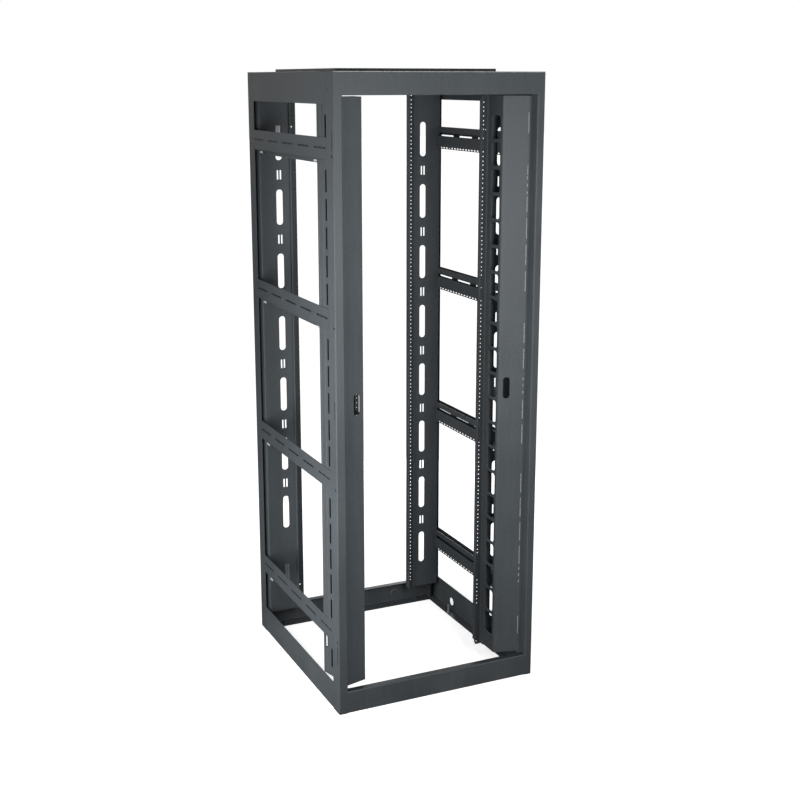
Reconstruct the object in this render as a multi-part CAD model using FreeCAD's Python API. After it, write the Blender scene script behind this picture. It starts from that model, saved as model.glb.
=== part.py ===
import FreeCAD, Part
import math
import os

# Four post open frame rack: a welded frame of bent sheet steel with two pairs of 19 inch rack rails.
# Millimetres. X runs across the rack, Y from the front to the back and Z up. The origin is on the floor,
# at the middle of the footprint. The left half is modelled and the right half is its mirror image.

# Frame
frameWidth = 744.0
frameDepth = 810.0
sheet = 2.0            # thickness of every bent sheet
bendRadius = 2.5       # inside radius of the corner bends
jointGap = 1.0         # between a crossbar or side rail and the step of the front post

# Rack standard
rackUnit = 44.45
unitCount = 44
railOpening = 450.0    # between the inner edges of a pair of rack rails
rackHoleInset = 7.56   # from a rail's inner edge to its holes, so that the columns are 465.12 apart
unitHoleOffset = 6.35  # from a unit's lower line to its first hole
unitHolePitch = 15.875
rackHoleRadius = 3.1
railOverrun = 5.0      # of a front rack rail below the rack units
railHeadroom = 4.2     # from the rack units to the top rails
railFaceWidth = 29.0
railLipDepth = 15.0    # of the fold behind the inner edge of a front rack rail
railLipShort = 13.0    # from the end of the rack units to the end of that fold

# Sides of the holes that are drawn with flats
rackHoleSides = 4
smallHoleSides = 6
ovalCornerSides = 2    # for one rounded corner of an oval
cutoutCornerSides = 1

# Corner posts
postFaceWidth = 28.0
postReturn = 39.0      # depth of the face that turns back beside the front opening
postSideFlat = 54.0    # of the front post's side that lies in the outer plane
postSideDepth = 142.0  # whole depth of the front post's side
rearSideDepth = 60.0   # of the rear post's side
joggle = 3.0           # length over which the side steps in by one sheet
postSlotFromStep = 7.0
postSlotWidth = 9.0
postSlotLength = 70.0
joiningHoleRadius = 4.5
joiningHoleInset = 12.0
cornerSlitWidth = 4.0
cornerSlitLength = 64.0
cornerSlitEnd = 130.0  # from the end of the rack units to the middle of the outer slits
topSlotDrop = 10.0     # by which the top slot is nearer to the next one
lowSlotWidth = 9.0     # of the rounded slot low in the front post's side
lowSlotLength = 46.0
lowSlotDepth = 115.0
lowSlotHeight = 220.0

# Cable panels beside the front opening
panelLanding = 6.0     # flat strip where the panel meets the post
panelWebStart = 62.0   # depth at which the slanted face turns into the web
panelBeyondPost = 18.0 # from the front post's side to the web's rear edge
cutoutFront = 70.0
cutoutWidth = 57.0
cutoutHeight = 76.0
cutoutCorner = 10.0
cutoutCount = 21
cutoutEnd = 102.0      # from the end of the rack units to the middle of the outer cutouts
latchHoleHeight = 75.0
latchHoleWidth = 24.0
latchHoleShare = 0.68  # of the slanted face's width, from the post to the latch hole

# Webs across the posts
ovalWidth = 24.0
ovalHeight = 127.0
ovalFromOpening = 62.0 # from the opening between the rails to the middle of the ovals
ovalCount = 8
ovalPitch = 231.7
lacingSlotWidth = 6.0
lacingSlotHeight = 33.0
lacingBar = 5.0

# Rear webs and rails
rearWebDepth = 75.0    # from the back of the frame to the rear web's front face
rearWebInset = 12.0    # from the side of the frame to the web's fold
rearWebShort = 18.0    # from the web's free edge to the opening between the rails
railStandoff = 12.0    # of the rear rack rail in front of its web
railLegInset = 4.0     # of the rear rail's leg from the web's free edge
rearLipDepth = 26.0    # of the fold behind the rear rail's inner edge
railLap = 16.0         # of the front rail's leg on the cable panel

# Base and top rails
baseFrontHeight = 79.0
baseSideHeight = 98.0
baseTopFlange = 25.0
baseBottomFlange = 53.0
baseSideFlange = 36.0
topFrontHeight = 72.0
topSideHeight = 99.0
topFlange = 25.0
topSideFlange = 36.0
anchorHoleRadius = 7.0
anchorInsetX = 90.0
anchorInsetY = 30.0
feedHoleRadius = 16.0  # of the cable hole in the right side rail of the base
feedHoleHeight = 35.0
feedHoleDepth = 626.0
feedHoleSides = 16

# Side crossbars
barHeight = 70.0
barFlange = 24.0
barUnits = 12          # rack units from one crossbar to the next
barCount = 4
topBarAboveUnits = 4.0 # rack units from the top of the rack units down to the top crossbar
barSlotCount = 5
barSlotLength = 100.0
barSlotHeight = 6.0
barSlotPitch = 146.0
barSlotDrop = 32.0     # below the crossbar's top edge
barGap = 12.0          # height of the gap along the inner wall, above the middle of the slots
barHang = 8.0          # by which the inner wall reaches below the outer one

# Top plate and its braces
plateHeight = 12.0
plateInsetX = 85.0
plateFrontInset = 180.0
plateRearInset = 60.0
braceHeight = 30.0
braceFlange = 20.0

# Corner gussets
gussetFromWeb = 6.0    # from the gusset's edge to the cable panel's web
gussetHoleRadius = 4.5
gussetHoleDepth = 33.0
gussetHolePitch = 27.0

# Places that follow from the sizes above
frameHeight = baseFrontHeight + unitCount * rackUnit + railHeadroom + topFrontHeight
railEdge = (frameWidth - railOpening) / 2
railLegSide = railEdge - railFaceWidth
panelWebInset = railLegSide + 2 * sheet
panelDepth = postSideDepth + panelBeyondPost
leftSide = -frameWidth / 2
frontSide = -frameDepth / 2
rackLow = baseFrontHeight
rackHigh = rackLow + unitCount * rackUnit
slotPitch = 2 * rackUnit
barPitch = barUnits * rackUnit
barTop = rackHigh - topBarAboveUnits * rackUnit + rackUnit / 4
ovalMiddle = rackLow + (rackHigh - rackLow) / 2


def place(across, back, up=0.0):
    """A point from its distances to the frame's left side, its front and the floor."""
    return FreeCAD.Vector(leftSide + across, frontSide + back, up)


def ribbon(path, thickness):
    """The outline of a bent strip: its path, and the same path moved to the left-hand side."""
    inner = []
    for i, point in enumerate(path):
        turns = []
        for a, b in ((i - 1, i), (i, i + 1)):
            if a >= 0 and b < len(path):
                dx, dy = path[b][0] - path[a][0], path[b][1] - path[a][1]
                length = math.hypot(dx, dy)
                turns.append((-dy / length, dx / length))
        first, last = turns[0], turns[-1]
        share = thickness / (1 + first[0] * last[0] + first[1] * last[1])
        inner.append((point[0] + share * (first[0] + last[0]), point[1] + share * (first[1] + last[1])))
    if len(path) > 1:
        for end in (0, -1):
            other = 1 if end == 0 else -2
            dx, dy = path[other][0] - path[end][0], path[other][1] - path[end][1]
            length = math.hypot(dx, dy)
            side = 1 if end == 0 else -1
            inner[end] = (path[end][0] - side * thickness * dy / length,
                          path[end][1] + side * thickness * dx / length)
    return path + inner[::-1]


def outlineFace(points, radii, lift):
    """A flat face with some of its corners rounded. lift puts a point of the outline into space."""
    count = len(points)
    edges = []
    starts, ends = [], []
    for i, point in enumerate(points):
        radius = radii.get(i, 0.0)
        before, after = points[i - 1], points[(i + 1) % count]
        ux, uy = before[0] - point[0], before[1] - point[1]
        vx, vy = after[0] - point[0], after[1] - point[1]
        lu, lv = math.hypot(ux, uy), math.hypot(vx, vy)
        if radius == 0.0:
            starts.append(lift(point))
            ends.append(None)
            continue
        cosine = (ux * vx + uy * vy) / (lu * lv)
        half = math.acos(cosine) / 2
        back = radius / math.tan(half)
        begin = (point[0] + ux / lu * back, point[1] + uy / lu * back)
        finish = (point[0] + vx / lv * back, point[1] + vy / lv * back)
        mx, my = ux / lu + vx / lv, uy / lu + vy / lv
        lm = math.hypot(mx, my)
        reach = radius / math.sin(half) - radius
        middle = (point[0] + mx / lm * reach, point[1] + my / lm * reach)
        starts.append(lift(begin))
        ends.append((lift(middle), lift(finish)))
    for i in range(count):
        leave = starts[i]
        if ends[i]:
            edges.append(Part.Arc(starts[i], ends[i][0], ends[i][1]).toShape())
            leave = ends[i][1]
        edges.append(Part.LineSegment(leave, starts[(i + 1) % count]).toShape())
    return Part.Face(Part.Wire(edges))


def upright(path, low, high, bends=()):
    """A strip that stands upright. Its path is seen from above, from the left side and the front."""
    points = ribbon(path, sheet)
    radii = bendRadii(path, points, bends)
    face = outlineFace(points, radii, lambda p: place(p[0], p[1], low))
    return face.extrude(FreeCAD.Vector(0, 0, high - low))


def bendRadii(path, points, bends):
    """Radii for both sides of the bends: the outside of a bend is larger by the sheet."""
    radii = {}
    for i in bends:
        a, b, c = path[i - 1], path[i], path[i + 1]
        turn = (b[0] - a[0]) * (c[1] - b[1]) - (b[1] - a[1]) * (c[0] - b[0])
        outside = bendRadius + sheet
        radii[i] = outside if turn > 0 else bendRadius
        radii[len(points) - 1 - i] = bendRadius if turn > 0 else outside
    return radii


def across(path, left, right):
    """A strip that runs across the rack: its path is seen from the side, as depths and heights."""
    face = outlineFace(ribbon(path, sheet), {}, lambda p: place(left, p[0], p[1]))
    return face.extrude(FreeCAD.Vector(right - left, 0, 0))


def block(low, high):
    """A box between two corners, each given as distances from the left side, the front and the floor."""
    size = [h - l for l, h in zip(low, high)]
    return Part.makeBox(size[0], size[1], size[2], place(*low))


def drill(centre, direction, radius, flats=0):
    """A cutter for one hole through a sheet: round, or with a few flats as wide apart as the round one."""
    reach = 3 * sheet
    start = centre - direction * reach
    if flats == 0:
        return Part.makeCylinder(radius, 2 * reach, start, direction)
    side = FreeCAD.Vector(0, 0, 1) if abs(direction.z) < 0.5 else FreeCAD.Vector(1, 0, 0)
    other = direction.cross(side)
    corner = radius / math.cos(math.pi / flats)
    points = []
    for i in range(flats + 1):
        angle = 2 * math.pi * (i + 0.5) / flats
        points.append(start + side * (corner * math.cos(angle)) + other * (corner * math.sin(angle)))
    return Part.Face(Part.makePolygon(points)).extrude(direction * (2 * reach))


def window(centre, direction, wide, high, corner=0.0, cornerSides=ovalCornerSides):
    """A cutter for an upright opening through a sheet. Short flats round its corners."""
    reach = 3 * sheet
    start = centre - direction * reach
    up = FreeCAD.Vector(0, 0, 1)
    side = direction.cross(up)
    points = []
    for quarter in range(4):
        signs = ((1, 1), (-1, 1), (-1, -1), (1, -1))[quarter]
        midX, midZ = signs[0] * (wide / 2 - corner), signs[1] * (high / 2 - corner)
        steps = cornerSides if corner else 0
        for i in range(steps + 1):
            angle = math.pi / 2 * (quarter + (i / steps if steps else 0))
            sideways = side * (midX + corner * math.cos(angle))
            points.append(start + sideways + up * (midZ + corner * math.sin(angle)))
    points = [p for i, p in enumerate(points) if p.distanceToPoint(points[i - 1]) > 0.01]
    return Part.Face(Part.makePolygon(points + points[:1])).extrude(direction * (2 * reach))


def slotHeights():
    """The middle heights of the post slots, two rack units apart, with one above the top crossbar."""
    count = int((barTop - rackLow - slotPitch / 2) // slotPitch) + 1
    return [barTop + slotPitch - topSlotDrop] + [barTop - i * slotPitch for i in range(count)]


def cutoutHeights():
    """The middle heights of the cable cutouts, spread evenly over the cable panel."""
    step = (rackHigh - rackLow - 2 * cutoutEnd) / (cutoutCount - 1)
    return [rackHigh - cutoutEnd - i * step for i in range(cutoutCount)]


def barHeights():
    """The middle heights of the side crossbars."""
    return [barTop + rackUnit / 5 - i * barPitch for i in range(barCount)]


def ovalHeights():
    return [ovalMiddle + ovalPitch * (i - (ovalCount - 1) / 2) for i in range(ovalCount)]


def rackHoles():
    """The heights of a rail's holes: the outer ones of its first and last unit, and all the others."""
    units = range(unitCount)
    holes = [rackLow + unit * rackUnit + unitHoleOffset + hole * unitHolePitch
             for unit in units for hole in range(3)]
    ends = [holes[0], holes[2], holes[-3], holes[-1]]
    return ends, [z for z in holes if z not in ends]


def frontPost():
    """The front corner post: a bent sheet with a side, a face and a return beside the opening."""
    path = [(sheet, postSideDepth), (sheet, postSideFlat + joggle), (0, postSideFlat), (0, 0),
            (postFaceWidth, 0), (postFaceWidth, postReturn)]
    post = upright(path, 0, frameHeight, bends=(3, 4))
    sideways = FreeCAD.Vector(1, 0, 0)
    slotBack = postSideFlat + joggle + postSlotFromStep
    open_ = [z for i, z in enumerate(slotHeights()) if (i - 1) % (barUnits // 2)]
    cutters = [window(place(0, slotBack, z), sideways, postSlotWidth, postSlotLength) for z in open_]
    cutters += joiningCutters(joiningHoleInset)
    for z in (rackLow + cornerSlitEnd, (rackLow + rackHigh) / 2, rackHigh - cornerSlitEnd):
        cutters.append(window(place(0, joiningHoleInset, z), sideways, cornerSlitWidth, cornerSlitLength))
    cutters.append(window(place(0, lowSlotDepth, lowSlotHeight), sideways, lowSlotWidth, lowSlotLength,
                          lowSlotWidth / 2))
    return post.cut(cutters)


def joiningCutters(depth):
    """The holes that join racks side by side: a column of them, whose first and last are round."""
    sideways = FreeCAD.Vector(1, 0, 0)
    heights = [z - rackUnit / 4 for z in slotHeights()[1::barUnits // 2]]
    return [drill(place(0, depth, z), sideways, joiningHoleRadius, 0 if z in (heights[0], heights[-1]) else
                  smallHoleSides) for z in heights]


def rearPost():
    """The rear corner post, with the same face and return as the front one."""
    back = frameDepth
    path = [(postFaceWidth, back - postReturn), (postFaceWidth, back), (0, back), (0, back - rearSideDepth)]
    post = upright(path, 0, frameHeight, bends=(1, 2))
    return post.cut(joiningCutters(back - joiningHoleInset))


def cablePanel():
    """The panel beside the front opening: a slanted face, and a web with a column of cable cutouts."""
    path = [(postFaceWidth - sheet, postReturn), (postFaceWidth + panelLanding, postReturn),
            (panelWebInset, panelWebStart), (panelWebInset, panelDepth)]
    panel = upright(path, rackLow, rackHigh)
    sideways = FreeCAD.Vector(1, 0, 0)
    middle = cutoutFront + cutoutWidth / 2
    cutters = [window(place(panelWebInset, middle, z), sideways, cutoutWidth, cutoutHeight, cutoutCorner,
                      cutoutCornerSides) for z in cutoutHeights()]
    run, rise = panelWebInset - postFaceWidth - panelLanding, panelWebStart - postReturn
    slant = FreeCAD.Vector(-rise, run, 0).normalize()
    latch = place(postFaceWidth + panelLanding + run * latchHoleShare, postReturn + rise * latchHoleShare,
                  (rackLow + rackHigh) / 2)
    cutters.append(window(latch, slant, latchHoleWidth, latchHoleHeight, latchHoleWidth / 2))
    return panel.cut(cutters)


def frontWeb():
    """The wall across the front post, between its side and the cable panel, with cable ovals."""
    depth = postSideDepth - sheet
    web = upright([(2 * sheet, depth), (panelWebInset - sheet, depth)], rackLow, rackHigh)
    return web.cut(ovalCutters(depth))


def ovalCutters(depth):
    """The ovals of a web and the pairs of lacing slots between them."""
    backwards = FreeCAD.Vector(0, 1, 0)
    heights = ovalHeights()
    inset = railEdge - ovalFromOpening
    cutters = [window(place(inset, depth, z), backwards, ovalWidth, ovalHeight, ovalWidth / 2)
               for z in heights]
    for z in [(a + b) / 2 for a, b in zip(heights, heights[1:])]:
        for side in (-1, 1):
            slot = place(inset + side * (lacingBar + lacingSlotWidth) / 2, depth, z)
            cutters.append(window(slot, backwards, lacingSlotWidth, lacingSlotHeight))
    return cutters


def rearWeb():
    """The wall across the rear post, with cable ovals and a fold that runs back to the post's face."""
    back = frameDepth - rearWebDepth
    path = [(rearWebInset, frameDepth - sheet), (rearWebInset, back), (railEdge - rearWebShort, back)]
    web = upright(path, rackLow, rackHigh)
    return web.cut(ovalCutters(back))


def frontRail():
    """A front rack rail: a face with holes, a leg that laps the cable panel and a fold at its inner edge."""
    back = panelDepth + sheet
    path = [(railEdge, back), (railLegSide, back), (railLegSide, panelDepth - railLap)]
    rail = upright(path, rackLow - railOverrun, rackHigh)
    lip = block((railEdge - sheet, back, rackLow + railLipShort),
                (railEdge, panelDepth + railLipDepth, rackHigh - railLipShort))
    rail = rail.fuse(lip).removeSplitter()
    ends, others = rackHoles()
    return rail.cut(rackHoleCutters(panelDepth, ends) + rackHoleCutters(panelDepth, others, rackHoleSides))


def rearRail():
    """A rear rack rail: a face in front of the rear web, a leg that stands on the web and a fold."""
    back = frameDepth - rearWebDepth
    legSide = railEdge - rearWebShort - railLegInset - sheet
    path = [(legSide, back), (legSide, back - railStandoff), (railEdge, back - railStandoff),
            (railEdge, back - railStandoff + rearLipDepth)]
    rail = upright(path, rackLow, rackHigh)
    return rail.cut(rackHoleCutters(back - railStandoff, rackHoles()[0]))


def rackHoleCutters(depth, heights, sides=0):
    """Rack holes in one rail, round or with a few flats."""
    backwards = FreeCAD.Vector(0, 1, 0)
    column = railEdge - rackHoleInset
    return [drill(place(column, depth, z), backwards, rackHoleRadius, sides) for z in heights]


def crossbar(middle):
    """A side crossbar: a channel whose outer wall has long slots and whose inner wall has a long gap."""
    front = postSideFlat + joggle + jointGap
    back = frameDepth - rearSideDepth
    low, high = middle - barHeight / 2, middle + barHeight / 2
    slotMiddle = high - barSlotDrop
    bar = block((0, front, low), (sheet, back, high))
    inFront, inBack = postSideDepth + sheet, frameDepth - rearWebDepth - sheet
    folds = [block((0, inFront, z), (barFlange, inBack, z + sheet)) for z in (low, high - sheet)]
    folds += [block((barFlange - sheet, inFront, a), (barFlange, inBack, b))
              for a, b in ((low - barHang, slotMiddle), (slotMiddle + barGap, high))]
    bar = bar.fuse(folds).removeSplitter()
    sideways = FreeCAD.Vector(1, 0, 0)
    cutters = []
    for i in range(barSlotCount):
        depth = frameDepth / 2 + barSlotPitch * (i - (barSlotCount - 1) / 2)
        cutters.append(window(place(0, depth, slotMiddle), sideways, barSlotLength, barSlotHeight))
    return bar.cut(cutters)


def frontBaseRail():
    """The front rail of the base: a face with a flange at its top and one on the floor."""
    path = [(baseTopFlange, baseFrontHeight), (0, baseFrontHeight), (0, 0), (baseBottomFlange, 0)]
    rail = across(path, postFaceWidth, frameWidth - postFaceWidth)
    return rail.cut(anchorCutters(anchorInsetY))


def rearBaseRail():
    back = frameDepth
    path = [(back - baseTopFlange, baseFrontHeight), (back, baseFrontHeight), (back, 0),
            (back - baseBottomFlange, 0)]
    rail = across(path[::-1], postFaceWidth, frameWidth - postFaceWidth)
    return rail.cut(anchorCutters(back - anchorInsetY))


def anchorCutters(depth):
    """The two floor anchor holes of one base rail."""
    up = FreeCAD.Vector(0, 0, 1)
    sides = (anchorInsetX, frameWidth - anchorInsetX)
    return [drill(place(side, depth, 0), up, anchorHoleRadius) for side in sides]


def sideBaseRail():
    """A side rail of the base, with a flange on the floor."""
    front = postSideFlat + joggle + jointGap
    back = frameDepth - rearSideDepth
    rail = block((0, front, 0), (sheet, back, baseSideHeight))
    flange = block((0, postSideDepth + sheet, 0), (baseSideFlange, frameDepth - rearWebDepth - sheet, sheet))
    return rail.fuse(flange).removeSplitter()


def feedHole():
    """The cutter for the cable hole in the right side rail of the base."""
    return drill(place(frameWidth, feedHoleDepth, feedHoleHeight), FreeCAD.Vector(1, 0, 0), feedHoleRadius,
                 feedHoleSides)


def frontTopRail():
    low, high = frameHeight - topFrontHeight, frameHeight
    path = [(topFlange, high), (0, high), (0, low), (topFlange, low)]
    return across(path, postFaceWidth, frameWidth - postFaceWidth)


def rearTopRail():
    low, high, back = frameHeight - topFrontHeight, frameHeight, frameDepth
    path = [(back - topFlange, high), (back, high), (back, low), (back - topFlange, low)]
    return across(path[::-1], postFaceWidth, frameWidth - postFaceWidth)


def sideTopRail():
    front = postSideFlat + joggle + jointGap
    back = frameDepth - rearSideDepth
    rail = block((0, front, frameHeight - topSideHeight), (sheet, back, frameHeight))
    flange = block((0, postSideDepth + sheet, frameHeight - sheet),
                   (topSideFlange, frameDepth - rearWebDepth - sheet, frameHeight))
    return rail.fuse(flange).removeSplitter()


def topBrace(depth):
    """A channel under the top plate, from one side rail to the other."""
    high = frameHeight - sheet
    path = [(depth + braceFlange, high), (depth, high), (depth, high - braceHeight)]
    return across(path, sheet, frameWidth - sheet)


def topPlate():
    """The raised top plate: a shallow tray upside down, standing on the two braces."""
    low, high = frameHeight - sheet, frameHeight + plateHeight - sheet
    outer = block((plateInsetX, plateFrontInset, low),
                  (frameWidth - plateInsetX, frameDepth - plateRearInset, high))
    inner = block((plateInsetX + sheet, plateFrontInset + sheet, low - sheet),
                  (frameWidth - plateInsetX - sheet, frameDepth - plateRearInset - sheet, high - sheet))
    return outer.cut(inner)


def gusset():
    """A flat plate in a front corner of the base, level with the base rail's top flange."""
    high = baseFrontHeight
    reach = panelWebInset - gussetFromWeb
    slope = (panelWebStart - postReturn) / (panelWebInset - postFaceWidth - panelLanding)
    backEdge = postReturn + sheet + slope * (reach - postFaceWidth - panelLanding)
    points = [(postFaceWidth, baseTopFlange), (reach, baseTopFlange), (reach, backEdge),
              (postFaceWidth + panelLanding, postReturn + sheet), (postFaceWidth, postReturn + sheet)]
    face = outlineFace(points, {}, lambda p: place(p[0], p[1], high - sheet))
    plate = face.extrude(FreeCAD.Vector(0, 0, sheet))
    up = FreeCAD.Vector(0, 0, 1)
    return plate.cut([drill(place(reach - number * gussetHolePitch, gussetHoleDepth, high), up,
                            gussetHoleRadius, smallHoleSides) for number in (1, 2)])


def mirrored(shape):
    return shape.mirror(FreeCAD.Vector(0, 0, 0), FreeCAD.Vector(1, 0, 0))


def save(name, shape):
    solids = shape.Solids
    if len(solids) == 1:
        shape = solids[0]
    print(name, len(solids), round(shape.Volume), shape.isValid())
    shape.exportStep("parts/" + name + ".step")


os.makedirs("parts", exist_ok=True)

sidePieces = {
    "front_{}_post": frontPost(),
    "rear_{}_post": rearPost(),
    "front_{}_cable_panel": cablePanel(),
    "front_{}_web": frontWeb(),
    "rear_{}_web": rearWeb(),
    "front_{}_rack_rail": frontRail(),
    "rear_{}_rack_rail": rearRail(),
    "base_{}_rail": sideBaseRail(),
    "top_{}_rail": sideTopRail(),
    "base_front_{}_gusset": gusset(),
}
for number, middle in enumerate(barHeights(), 1):
    sidePieces["{}_crossbar_" + str(number)] = crossbar(middle)

for name, shape in sidePieces.items():
    save(name.format("left"), shape)
    right = mirrored(shape)
    if name == "base_{}_rail":
        right = right.cut(feedHole())
    save(name.format("right"), right)

save("base_front_rail", frontBaseRail())
save("base_rear_rail", rearBaseRail())
save("top_front_rail", frontTopRail())
save("top_rear_rail", rearTopRail())
save("top_front_brace", topBrace(plateFrontInset))
save("top_rear_brace", topBrace(frameDepth - plateRearInset - braceFlange))
save("top_plate", topPlate())
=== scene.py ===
import math

import bpy
import numpy as np
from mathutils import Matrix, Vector


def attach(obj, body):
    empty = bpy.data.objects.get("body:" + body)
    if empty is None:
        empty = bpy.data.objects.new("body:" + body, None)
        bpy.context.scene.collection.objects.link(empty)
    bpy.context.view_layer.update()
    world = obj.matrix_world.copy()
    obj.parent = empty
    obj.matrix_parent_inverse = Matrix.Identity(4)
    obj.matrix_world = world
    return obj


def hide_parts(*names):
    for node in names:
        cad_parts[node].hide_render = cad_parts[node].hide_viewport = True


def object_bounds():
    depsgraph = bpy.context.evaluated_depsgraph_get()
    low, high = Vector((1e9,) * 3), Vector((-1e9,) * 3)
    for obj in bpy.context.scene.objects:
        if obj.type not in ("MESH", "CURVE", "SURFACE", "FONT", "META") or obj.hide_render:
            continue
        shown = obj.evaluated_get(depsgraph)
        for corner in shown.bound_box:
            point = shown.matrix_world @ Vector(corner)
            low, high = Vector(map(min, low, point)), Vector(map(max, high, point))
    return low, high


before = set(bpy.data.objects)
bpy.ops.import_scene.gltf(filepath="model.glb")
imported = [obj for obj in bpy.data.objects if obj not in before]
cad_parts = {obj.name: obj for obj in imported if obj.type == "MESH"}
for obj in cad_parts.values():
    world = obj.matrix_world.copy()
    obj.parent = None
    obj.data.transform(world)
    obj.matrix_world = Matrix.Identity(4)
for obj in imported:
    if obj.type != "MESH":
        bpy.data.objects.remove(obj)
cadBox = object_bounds()

mm = 0.001
leftSide = cadBox[0].x
frontSide = cadBox[0].y
print("frame loaded")

# Every sheet is a flat pattern: its holes are cut first, then it is folded along its profile.
# In the pattern a runs across the folds and r along them. Lengths are in millimetres.
# inside: radius inside a fold; steps: lines in a right angle; the edge values round all sharp edges
bends = {"inside": 2.5, "thickness": 2.0, "steps": 5, "edgeRound": 0.35, "edgeSteps": 2, "edgeAngle": 40,
         "normalWeight": 60}
sheet = bends["thickness"]
# gap: a shorter length counts as none; rounding: what rounding may leave; grid: merging places in a millimetre
tiny = {"gap": 1e-6, "rounding": 1e-9, "grid": 1e4}
# points on each side of a hole, and round a turned piece
arc = {"tooth": 2, "pilot": 3, "hole": 5, "latch": 7, "oval": 9, "bolt": 12, "knockout": 32}


def roundedHole(width, height, corner, steps):
    # one point per angle; each quarter turns about the centre of its own corner
    turn = np.radians(-135 + 90 * np.arange(4 * steps) / steps)
    sideA, sideR = np.sign(np.cos(turn)), np.sign(np.sin(turn))
    return np.stack([sideA * (width / 2 - corner) + corner * np.cos(turn),
                     sideR * (height / 2 - corner) + corner * np.sin(turn)], 1)


def rectangleRim(a0, a1, r0, r1, steps):
    # the same number of points round a rectangle, evenly spaced on each side, from the low left corner
    way = np.arange(steps) / steps
    low = np.stack([a0 + (a1 - a0) * way, np.full(steps, r0)], 1)
    right = np.stack([np.full(steps, a1), r0 + (r1 - r0) * way], 1)
    high = np.stack([a1 - (a1 - a0) * way, np.full(steps, r1)], 1)
    left = np.stack([np.full(steps, a0), r1 - (r1 - r0) * way], 1)
    return np.concatenate([low, right, high, left])


def column(a, heights):
    # points one above the other at the same a
    return np.stack([np.full(len(heights), a), heights], 1)


class FlatPattern:
    # vertices, their tones and the faces of a sheet before it is folded
    def __init__(self):
        self.points = []
        self.tone = []
        self.quads = []
        self.triangles = []
        self.count = 0

    def add(self, points, quads=(), triangles=(), tone=0.0):
        # the faces number their points from 0
        self.points.append(points)
        self.tone.append(np.full(len(points), tone))
        if len(quads):
            self.quads.append(np.asarray(quads) + self.count)
        if len(triangles):
            self.triangles.append(np.asarray(triangles) + self.count)
        self.count += len(points)

    def ring(self, rim, hole, steps):
        # the sheet between a rectangle and one hole: straight lines from each hole point to its rim point
        tone = hole[5] if len(hole) > 5 else 0.0
        inner = roundedHole(*hole[2:5], steps) + np.array(hole[:2])
        outer = rectangleRim(*rim, steps)
        n = len(inner)
        i = np.arange(n)
        j = (i + 1) % n
        self.add(np.concatenate([outer, inner]), np.stack([i, j, n + j, n + i], 1), tone=tone)

    def grid(self, across, along):
        # a plain rectangle of the sheet, divided at the given values
        a, r = np.meshgrid(across, along, indexing="ij")
        m = len(along)
        i, j = np.meshgrid(np.arange(len(across) - 1), np.arange(m - 1), indexing="ij")
        k = (i * m + j).ravel()
        self.add(np.stack([a.ravel(), r.ravel()], 1), np.stack([k, k + m, k + m + 1, k + 1], 1))

    def stitch(self, first, second):
        # triangles between two lines of points that run the same way, taken in the order of the points
        way = first[-1] - first[0]
        alongFirst, alongSecond = (first - first[0]) @ way, (second - first[0]) @ way
        key = np.concatenate([alongFirst[1:], alongSecond[1:]])
        side = np.concatenate([np.zeros(len(first) - 1, int), np.ones(len(second) - 1, int)])
        side = side[np.lexsort((side, key))]
        i, j = np.cumsum(1 - side) - (1 - side), np.cumsum(side) - side
        n = len(first)
        third = np.where(side == 0, i + 1, n + j + 1)
        self.add(np.concatenate([first, second]), triangles=np.stack([i, n + j, third], 1))

    def merged(self):
        # points that meet become one with the lowest of their tones, at most 0; flat triangles are left out
        points = np.concatenate(self.points)
        keys = np.round(points * tiny["grid"]).astype(np.int64)
        firsts, places = np.unique(keys, axis=0, return_index=True, return_inverse=True)[1:]
        places = places.ravel()
        quads = places[np.concatenate(self.quads)] if self.quads else np.zeros((0, 4), int)
        triangles = places[np.concatenate(self.triangles)] if self.triangles else np.zeros((0, 3), int)
        points = points[firsts]
        tone = np.zeros(len(points))
        np.minimum.at(tone, places, np.concatenate(self.tone))
        flat = points[triangles]
        area = np.cross(flat[:, 1] - flat[:, 0], flat[:, 2] - flat[:, 0])
        triangles = np.where((area < 0)[:, None], triangles[:, ::-1], triangles)
        return points, quads, triangles[np.abs(area) > tiny["rounding"]], tone


def laneOf(at, half, rows, steps):
    # a lane: its two sides, its rows of holes from low to high, and the points on a hole's side
    # a hole: a, r, width, height, corner radius and, where it has one, tone
    return at - half, at + half, rows, steps


def cutLane(pattern, lane, low, high):
    # each row of holes takes the lane up to halfway to the next row and shares its width out equally
    # where the next row has another number of holes, a narrow stitched strip lies between the two
    a0, a1, rows, steps = lane
    gap = 0.5
    spans = []
    for i, row in enumerate(rows):
        bottom = low if i == 0 else spans[-1][1]
        reach = row[0][1] + row[0][3] / 2
        top = high if i == len(rows) - 1 else (reach + rows[i + 1][0][1] - rows[i + 1][0][3] / 2) / 2
        spans.append((bottom, top))
    border = [low]
    for i, (row, (bottom, top)) in enumerate(zip(rows, spans)):
        if i + 1 < len(rows) and len(rows[i + 1]) != len(row):
            top -= gap
        if i > 0 and len(rows[i - 1]) != len(row):
            bottom += gap
            below = np.linspace(a0, a1, len(rows[i - 1]) * steps + 1)
            above = np.linspace(a0, a1, len(row) * steps + 1)
            pattern.stitch(np.stack([below, np.full_like(below, bottom - 2 * gap)], 1),
                           np.stack([above, np.full_like(above, bottom)], 1))
            border.append(bottom)
        edges = np.linspace(a0, a1, len(row) + 1)
        for hole, left, right in zip(row, edges, edges[1:]):
            pattern.ring((left, right, bottom, top), hole, steps)
        border += list(np.linspace(bottom, top, steps + 1)[1:])
    return np.array(border)


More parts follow.
